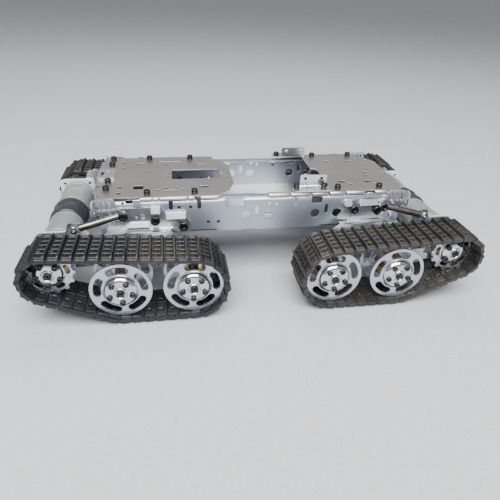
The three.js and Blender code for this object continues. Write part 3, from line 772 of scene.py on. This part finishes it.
def unit_frame():
    """Upright side plate of a track unit, with a shelf on top and a plate behind it."""
    tip = SPROCKET_X + MOUNT_HALF
    outline = rounded([
        (80, SHELF_TOP), (54, 40), (54, 27), (60, 22), (126, 22), (150, 30), (160, 29), (SPROCKET_X + 12, 29),
        (tip, 35), (tip, 60), (SPROCKET_X + 13, 65), (170, 65), (168, 74), (157, 74), (146, 56),
        (137, SHELF_TOP),
    ], 2.5)
    holes = [circle(SPROCKET_X, SPROCKET_Z, SHAFT_HOLE_R), circle(93, 41, 8, 32), circle(93, 27.5, 2.5)]
    holes += [slot(146, 42, 12, 7, math.pi / 2)]
    holes += [circle(x, z, M3_HOLE_R, 12) for x, z in mount_holes()]
    web = stand(sheet(outline, holes), FRAME_OUT)
    shelf = move(sheet(box_outline(80, 137, 56.8, FRAME_OUT - 0.2, 2)), 0, 0, SHELF_TOP - SHEET / 2)
    back = stand(sheet(box_outline(84, 133, 50, SHELF_TOP - 0.2, 2)), 58.3)
    return merged(web, shelf, back)


def motor_mount():
    x, z, far = SPROCKET_X, SPROCKET_Z, MOUNT_HALF
    outline = rounded([(x - far, z - far), (x + far, z - far), (x + far, z + far), (x - far, z + far)], 5, 5)
    holes = [circle(x, z, SHAFT_HOLE_R)] + [circle(a, b, M3_HOLE_R, 12) for a, b in mount_holes()]
    return stand(sheet(outline, holes, MOUNT_T), MOUNT_OUT)


def gear_motor():
    face = MOUNT_OUT - MOUNT_T - GAP
    r = MOTOR_R
    gearbox = [(0, face), (r - 0.8, face), (r, face - 0.8), (r, face - 6), (r - 0.35, face - 6.3),
               (r - 0.35, face - 6.9), (r, face - 7.2), (r, face - 19), (r - 0.3, face - 19.4),
               (r - 0.3, face - 20.2), (r - 0.6, face - 20.6)]
    can = [(r - 0.6, CAP_OUT + 5), (r - 0.9, CAP_OUT + 4.6), (r - 0.9, CAP_OUT + 3.8),
           (r - 0.6, CAP_OUT + 3.4), (r - 0.6, CAP_OUT + GAP), (0, CAP_OUT + GAP)]
    return lathe(gearbox + can, 56, SPROCKET_X, SPROCKET_Z)


def encoder_cap():
    r = CAP_R
    profile = [(0, CAP_OUT), (r - 1.0, CAP_OUT), (r - 0.2, CAP_OUT - 0.8), (r, CAP_OUT - 4), (r, 2.0),
               (r - 0.4, 1.0), (r - 0.9, GAP), (0, GAP)]
    shell = lathe(profile, 56, SPROCKET_X, SPROCKET_Z)
    tabs = []
    for i in range(4):
        tab = sheet(box_outline(-3, 3, -4, 4, 1.2), thickness=0.8)
        tab.transform(Matrix.Translation((0, 7.5, r - 0.15)))
        tab.transform(Matrix.Rotation(math.pi / 4 + i * math.pi / 2, 4, "Y"))
        tabs.append(move(tab, SPROCKET_X, 0, SPROCKET_Z))
    return merged(shell, *tabs)


def brace_rod():
    """Sleeve between two screwed studs, with a nut and an eye at its ends, drawn along Y and then aimed."""
    along = ROD_OUTER - ROD_INNER
    length = along.length
    profile = [(0, 3.6), (2.5, 3.6), (3.2, 4.4), (3.2, length - 5.2), (2.6, length - 4.4),
               (1.7, length - 4.3), (1.7, length - 2), (0, length - 2)]
    rod = lathe(profile, 32)
    aim = Matrix.Translation(ROD_INNER) @ Vector((0, 1, 0)).rotation_difference(along).to_matrix().to_4x4()
    rod.transform(aim)
    stud = lathe([(0, 0.5), (1.7, 0.5), (1.7, 4.5), (0, 4.5)], 16)
    stud.transform(aim)
    nut = lathe([(0, length - 4), (2.9, length - 4), (2.9, length - 2.4), (0, length - 2.4)], 6)
    nut.transform(aim)
    eye_profile = [(1.6, -2.0), (2.8, -2.0), (3.2, -1.5), (3.2, 1.5), (2.8, 2.0), (1.6, 2.0), (1.6, -2.0)]
    eyes = [move(lathe(eye_profile, 24), end.x, end.y, end.z) for end in (ROD_INNER, ROD_OUTER)]
    under_head = ROD_INNER.y + 2.2
    head = screws([(ROD_INNER.x, under_head, ROD_INNER.z)], *ROD_SCREW, "Y")
    root = BRACKET_OUT + 0.1
    shank = lathe([(0, root), (2.0, root), (2.0, under_head), (0, under_head)], 16, ROD_INNER.x, ROD_INNER.z)
    return rod, merged(stud, nut, *eyes), merged(head, shank)


# Links are drawn with X along the track, Y across it and Z outwards from its inner face.
LINK_HALF_WIDTH = (TRACK_OUT - TRACK_IN) / 2
BARREL_R = 1.5


def taper_block(x0, x1, y0, y1, z0, z1, inset_x, inset_y, chamfer):
    """Block whose sides lean in above its straight foot."""
    bm = bmesh.new()
    shoulder = z1 - chamfer
    levels = ((0, 0, z0), (inset_x - chamfer, inset_y - chamfer, shoulder), (inset_x, inset_y, z1))
    loops = []
    for sx, sy, z in levels:
        corners = ((x0 + sx, y0 + sy), (x1 - sx, y0 + sy), (x1 - sx, y1 - sy), (x0 + sx, y1 - sy))
        loops.append([bm.verts.new((x, y, z)) for x, y in corners])
    for lower, upper in zip(loops, loops[1:]):
        for i in range(4):
            j = (i + 1) % 4
            bm.faces.new((lower[i], lower[j], upper[j], upper[i]))
    bm.faces.new(list(reversed(loops[0])))
    bm.faces.new(loops[-1])
    return bm


def inward(bm):
    """Turn a block drawn outwards so that it points inwards."""
    bm.transform(Matrix.Diagonal((1, 1, -1, 1)))
    bmesh.ops.reverse_faces(bm, faces=bm.faces)
    return bm


def hinge_barrel(x, half_width):
    """Knuckles of the hinge between two links, thick and thin by turns along the pin."""
    knuckles = 9
    step = 2 * half_width / knuckles
    profile = [(0, -half_width)]
    for k in range(knuckles):
        radius = BARREL_R - 0.3 * (k % 2)
        profile += [(radius, -half_width + k * step), (radius, -half_width + (k + 1) * step)]
    profile.append((0, half_width))
    return move(lathe(profile, 10), x, 0, BARREL_R)


def track_link():
    """One link: base plate, grouser bar, ribs with pits between them, side blocks and guide lugs."""
    w = LINK_HALF_WIDTH
    parts = [taper_block(-4.5, 3.8, -w + 0.5, w - 0.5, 0, 2.2, 0.3, 0.3, 0.25)]
    parts.append(hinge_barrel(LINK_PITCH / 2, w - 0.8))
    parts.append(taper_block(1.3, 4.3, -w + 2.4, w - 2.4, 2.0, LINK_HEIGHT, 1.05, 0.9, 0.4))
    parts.append(taper_block(-2.9, -1.7, -w + 3.0, w - 3.0, 2.0, 3.5, 0.3, 0.3, 0.25))
    ribs = 6
    rib_pitch = (2 * w - 8.4) / (ribs - 1)
    for i in range(ribs):
        y = -w + 4.2 + i * rib_pitch
        parts.append(taper_block(-4.6, 2.0, y - 1.1, y + 1.1, 2.0, 4.1, 0.5, 0.5, 0.3))
    for side in (-1, 1):
        spans = (
            (w - 2.6, w, -4.5, 4.0, 0.2, 4.0, 0.9, 0.6),
            (w - 3.4, w - 0.8, 0.4, 4.4, 3.0, 5.4, 1.2, 0.8),
        )
        for inner, outer, x0, x1, z0, z1, inset_x, inset_y in spans:
            y0, y1 = sorted((side * inner, side * outer))
            parts.append(taper_block(x0, x1, y0, y1, z0, z1, inset_x, inset_y, 0.4))
    for y in (-4.5, 9.5):
        parts.append(inward(taper_block(-2.6, 2.6, y - 1.5, y + 1.5, -0.2, 2.0, 1.1, 0.5, 0.3)))
    for y in (-17.5, -1.0, 17.5):
        parts.append(inward(taper_block(-4.0, 3.4, y - 0.9, y + 0.9, -0.2, 0.5, 0.3, 0.3, 0.15)))
    return merged(*parts)


def track_path():
    """Closed line just inside the lugs' envelope: arcs round the three circles, joined by tangents."""
    inset = LINK_HEIGHT + 0.15
    circles = [
        (INNER_WHEEL_X, WHEEL_Z, WHEEL_Z - inset),
        (OUTER_WHEEL_X, WHEEL_Z, WHEEL_Z - inset),
        (SPROCKET_X, SPROCKET_Z, SPROCKET_ROOT + 5 - inset),
    ]
    normals = []
    for i, (x, z, r) in enumerate(circles):
        bx, bz, br = circles[(i + 1) % 3]
        distance = math.hypot(bx - x, bz - z)
        normals.append(math.atan2(bz - z, bx - x) - math.acos((r - br) / distance))
    points = []
    for i, (x, z, r) in enumerate(circles):
        start, end = normals[i - 1], normals[i]
        while end < start:
            end += 2 * math.pi
        points += arc(x, z, r, start, end, 24)
    return points


def track(seed):
    """Links set along the path at an even pitch, each a little out of line as loose links are."""
    rng = random.Random(seed)
    path = track_path()
    path.append(path[0])
    spans = [math.dist(a, b) for a, b in zip(path, path[1:])]
    total = sum(spans)
    count = round(total / LINK_PITCH)
    link = bpy.data.meshes.new("link")
    template = track_link()
    template.to_mesh(link)
    template.free()
    whole = bmesh.new()
    for i in range(count):
        target = total * i / count
        k = 0
        while target > spans[k]:
            target -= spans[k]
            k += 1
        a, b = Vector(path[k]), Vector(path[k + 1])
        ahead = (b - a).normalized()
        at = a + ahead * target
        slack = rng.uniform(-0.25, 0.0)
        turn = Matrix((
            (ahead.x, 0, ahead.y, at.x + slack * ahead.y),
            (0, 1, 0, (TRACK_IN + TRACK_OUT) / 2),
            (ahead.y, 0, -ahead.x, at.y - slack * ahead.x),
            (0, 0, 0, 1),
        ))
        tilt = Matrix.Rotation(rng.uniform(-0.012, 0.012), 4, "Y")
        one = bmesh.new()
        one.from_mesh(link)
        one.transform(turn @ tilt)
        mesh = bpy.data.meshes.new("one")
        one.to_mesh(mesh)
        one.free()
        whole.from_mesh(mesh)
        bpy.data.meshes.remove(mesh)
    bmesh.ops.recalc_face_normals(whole, faces=whole.faces)
    return whole


SLOT_ANGLE = 2 * math.pi / 5
TOP = math.pi / 2


def kidney(cx, cz, inner, outer, angle, half):
    """Curved slot with rounded ends."""
    mid = (inner + outer) / 2
    end_r = (outer - inner) / 2
    points = []
    left, right = angle + half, angle - half
    for a, sweep_from, r, turn in ((left, right, outer, 0), (right, left, inner, 1)):
        points += arc(cx, cz, r, sweep_from, a, 10)
        first = a + turn * math.pi
        end = arc(cx + mid * math.cos(a), cz + mid * math.sin(a), end_r, first, first + math.pi, 6)
        points += end[1:-1]
    return points


def ring_points(cx, cz, radius, count, first):
    angles = [first + i * 2 * math.pi / count for i in range(count)]
    return [(cx + radius * math.cos(a), cz + radius * math.sin(a)) for a in angles]


HUB_FLANGE_R = 15.2
HUB_SCREW_CIRCLE = 9.9
HUB_HEIGHT = 4.3
HUB_RECESS = 1.0
CORE_R = 6.0
BORE_R = 3.4


def turned_hub(cx, cz, base, flange):
    """Polished hub: flange on the disc, domed flank, flat face and a raised ring round the recess."""
    face = base + HUB_HEIGHT
    profile = [(0, base - 0.5), (flange, base - 0.5), (flange, base + 0.3), (flange - 0.5, base + 0.7),
               (flange - 1.0, base + 1.0), (flange - 1.6, base + 2.1), (flange - 2.5, base + 3.2),
               (flange - 3.6, base + 3.95), (flange - 4.6, face), (5.6, face), (5.3, face + 0.2),
               (5.3, face + 0.7), (5.0, face + 1.0), (4.4, face + 1.0), (4.1, face + 0.7),
               (4.1, face - HUB_RECESS), (0, face - HUB_RECESS)]
    return lathe(profile, 64, cx, cz)


def hub_screws(cx, cz, base, first):
    face = base + HUB_HEIGHT
    small = [(x, face - 2.4, z) for x, z in ring_points(cx, cz, HUB_SCREW_CIRCLE, 5, first)]
    centre = screws([(cx, face - HUB_RECESS, cz)], *HUB_CENTRE_SCREW, "Y")
    return merged(screws(small, *HUB_SCREW, "Y"), centre)


def spacers(cx, cz, first, y0, y1):
    """Hexagonal brass pillars between the two discs, in line with the hub screws."""
    parts = []
    edge, full = 2.6, 3.0
    for x, z in ring_points(cx, cz, HUB_SCREW_CIRCLE, 5, first):
        profile = [(0, y0), (edge, y0), (full, y0 + 0.5), (full, y1 - 0.5), (edge, y1), (0, y1)]
        parts.append(lathe(profile, 6, x, z))
    return merged(*parts)


def road_wheel(cx, first):
    cz = WHEEL_Z
    kidneys = [kidney(cx, cz, 16.3, 22.7, first + i * SLOT_ANGLE, 0.32) for i in range(5)]
    discs = [stand(sheet(circle(cx, cz, WHEEL_R - 0.1, 90), kidneys, DISC_T, 0.4), out)
             for out in (WHEEL_DISC_OUT, WHEEL_DISC_IN)]
    inner_end = WHEEL_DISC_OUT - DISC_T
    start = 80.2
    tube = lathe([(BORE_R, start), (CORE_R, start), (CORE_R, inner_end), (BORE_R, inner_end),
                  (BORE_R, start)], 32, cx, cz)
    ring_in = WHEEL_DISC_IN - 0.2
    ring_out = WHEEL_DISC_IN + 1.4
    inner_ring = lathe([(BORE_R, ring_in), (13, ring_in), (13, ring_out), (BORE_R, ring_out),
                        (BORE_R, ring_in)], 48, cx, cz)
    return merged(*discs, tube, inner_ring), turned_hub(cx, cz, WHEEL_DISC_OUT, HUB_FLANGE_R)


def toothed_outline(cx, cz):
    """Short square-ended teeth with round pockets between them."""
    points = []
    pitch = 2 * math.pi / SPROCKET_TEETH
    root = SPROCKET_ROOT - 0.5
    tip = SPROCKET_TIP - 0.9
    shoulder = tip - 1.2
    tooth_shape = ((-0.27, root), (-0.17, shoulder), (-0.155, tip),
                   (0.155, tip), (0.17, shoulder), (0.27, root))
    for tooth in range(SPROCKET_TEETH):
        for offset, r in tooth_shape:
            a = (tooth + offset) * pitch
            points.append((cx + r * math.cos(a), cz + r * math.sin(a)))
    return rounded(points, 0.9, 2)


def sprocket(first):
    cx, cz = SPROCKET_X, SPROCKET_Z
    holes = [kidney(cx, cz, 12.6, 17.0, first + i * SLOT_ANGLE, 0.15) for i in range(5)]
    discs = [stand(sheet(toothed_outline(cx, cz), holes, DISC_T, 0.3), out)
             for out in (SPROCKET_DISC_OUT, SPROCKET_DISC_IN)]
    inner_end = SPROCKET_DISC_OUT - DISC_T
    shaft = lathe([(0, 63.6), (3, 63.6), (3, 80), (CORE_R, 80), (CORE_R, inner_end), (0, inner_end)],
                  32, cx, cz)
    return merged(*discs, shaft), turned_hub(cx, cz, SPROCKET_DISC_OUT, 13.0)


def wheel_axle(cx):
    """Shoulder outside the side plate, then a thin pin through the wheel's bore."""
    start, end = 64.3, 104
    profile = [(0, start), (6, start), (6, 70), (5.4, 70.6), (5.4, 78.4), (4.8, 79), (3, 79),
               (3, end), (0, end)]
    return lathe(profile, 28, cx, WHEEL_Z)


def corner(name, sign_x, sign_y, seed):
    """Everything that belongs to one track unit."""
    def put(label, bm, finish, body="root", replaces=()):
        nodes = [f"{node}_{name}" for node in replaces]
        return piece(f"{label}_{name}", reflected(bm, sign_x, sign_y), finish, body, nodes)

    rng = random.Random(seed)
    plate, heads = wall_bracket(sign_x > 0)
    put("bracket_plate", plate, "bracket", replaces=["wall_bracket"])
    put("bracket_screws", heads, "black_oxide")
    put("side_frame", unit_frame(), "bracket", replaces=["unit_frame"])
    put("mount_plate", motor_mount(), "flange", replaces=["motor_mount"])
    put("motor_case", gear_motor(), "motor", replaces=["gear_motor"])
    put("motor_cap", encoder_cap(), "plastic", replaces=["encoder_cap"])
    rod, ends, bolt = brace_rod()
    put("rod_sleeve", rod, "rod", replaces=["brace_rod"])
    put("rod_ends", ends, "steel")
    put("rod_screw", bolt, "black_oxide")
    bolts = [(x, FRAME_OUT, z) for x, z in mount_holes()]
    put("mount_screws", screws(bolts, *MOUNT_SCREW, "Y"), "black_oxide")
    links = "track_front" if sign_x > 0 else "track_rear"
    put("track_links", track(seed), links, replaces=["track"])
    for label, x in (("outer", OUTER_WHEEL_X), ("inner", INNER_WHEEL_X)):
        first = TOP + rng.uniform(-0.2, 0.2)
        body = f"{label}_wheel_{name}"
        discs, hub = road_wheel(x, first)
        put(f"{label}_axle_pin", wheel_axle(x), "steel", replaces=[f"{label}_axle"])
        put(f"{label}_discs", discs, "wheel", body, [f"{label}_wheel"])
        put(f"{label}_hub", hub, "hub", body)
        bolts = hub_screws(x, WHEEL_Z, WHEEL_DISC_OUT, first + SLOT_ANGLE / 2)
        put(f"{label}_hub_screws", bolts, "black_oxide", body)
        posts = spacers(x, WHEEL_Z, first + SLOT_ANGLE / 2, WHEEL_DISC_IN, WHEEL_DISC_OUT - DISC_T)
        put(f"{label}_spacers", posts, "brass", body)
    first = TOP + rng.uniform(-0.3, 0.3)
    body = f"sprocket_{name}"
    discs, hub = sprocket(first)
    put("sprocket_discs", discs, "wheel", body, ["sprocket"])
    put("sprocket_hub", hub, "hub", body)
    bolts = hub_screws(SPROCKET_X, SPROCKET_Z, SPROCKET_DISC_OUT, first + SLOT_ANGLE / 2)
    put("sprocket_screws", bolts, "black_oxide", body)
    posts = spacers(SPROCKET_X, SPROCKET_Z, first + SLOT_ANGLE / 2, SPROCKET_DISC_IN,
                    SPROCKET_DISC_OUT - DISC_T)
    put("sprocket_spacers", posts, "brass", body)


for seed, (corner_name, (x_sign, y_sign)) in enumerate(CORNERS.items(), start=11):
    corner(corner_name, x_sign, y_sign, seed)

# ------------------------------------------------------------------ floor, light and camera


def floor():
    bm = bmesh.new()
    bmesh.ops.create_grid(bm, x_segments=2, y_segments=2, size=40.0)
    mesh = bpy.data.meshes.new("floor")
    bm.to_mesh(mesh)
    bm.free()
    shader = Shader("pale_floor").set(Metallic=0.0)
    grain = shader.noise(300, (1, 1, 1), 3)
    shader.color(shader.ramp(grain, [(0.3, (0.53, 0.54, 0.56)), (0.7, (0.59, 0.60, 0.62))]))
    shader.roughness(shader.remap(grain, 0.75, 0.9))
    mesh.materials.append(shader.material)
    item = bpy.data.objects.new("floor", mesh)
    bpy.context.scene.collection.objects.link(item)


def area_light(name, place, aim, size, power):
    light = bpy.data.lights.new(name, "AREA")
    light.shape = "RECTANGLE"
    light.size, light.size_y = size
    light.energy = power
    item = bpy.data.objects.new(name, light)
    item.location = place
    item.rotation_euler = (Vector(aim) - Vector(place)).to_track_quat("-Z", "Y").to_euler()
    bpy.context.scene.collection.objects.link(item)


def camera():
    """Seen from the near side, a little left of the middle, looking down; aimed for a frame of 500 by 500."""
    heading, pitch, roll = (math.radians(a) for a in (10.35, -29.68, 2.37))
    flat = Vector((math.sin(heading), math.cos(heading), 0))
    ahead = flat * math.cos(pitch) + Vector((0, 0, math.sin(pitch)))
    level = Vector((math.cos(heading), -math.sin(heading), 0))
    up = level.cross(ahead)
    right = level * math.cos(roll) + up * math.sin(roll)
    up = up * math.cos(roll) - level * math.sin(roll)
    turn = Matrix((right, up, -ahead)).transposed().to_4x4()
    data = bpy.data.cameras.new("camera")
    data.lens = 33.19
    data.sensor_width = 36.0
    data.shift_y = -0.013
    data.clip_start = 0.01
    item = bpy.data.objects.new("camera", data)
    item.matrix_world = Matrix.Translation(Vector((-75.1, -436.5, 260.9)) * MM) @ turn
    bpy.context.scene.collection.objects.link(item)
    bpy.context.scene.camera = item


floor()
area_light("ceiling_front", (-0.15, -0.95, 1.5), (0, 0, 0.05), (1.7, 1.1), 72)
area_light("ceiling_back", (0.2, 0.7, 1.6), (0, 0, 0.05), (1.4, 0.6), 10)
world = bpy.data.worlds.new("studio")
bpy.context.scene.world = world
world.use_nodes = True
world.node_tree.nodes["Background"].inputs["Color"].default_value = (0.84, 0.85, 0.88, 1)
world.node_tree.nodes["Background"].inputs["Strength"].default_value = 0.46
camera()
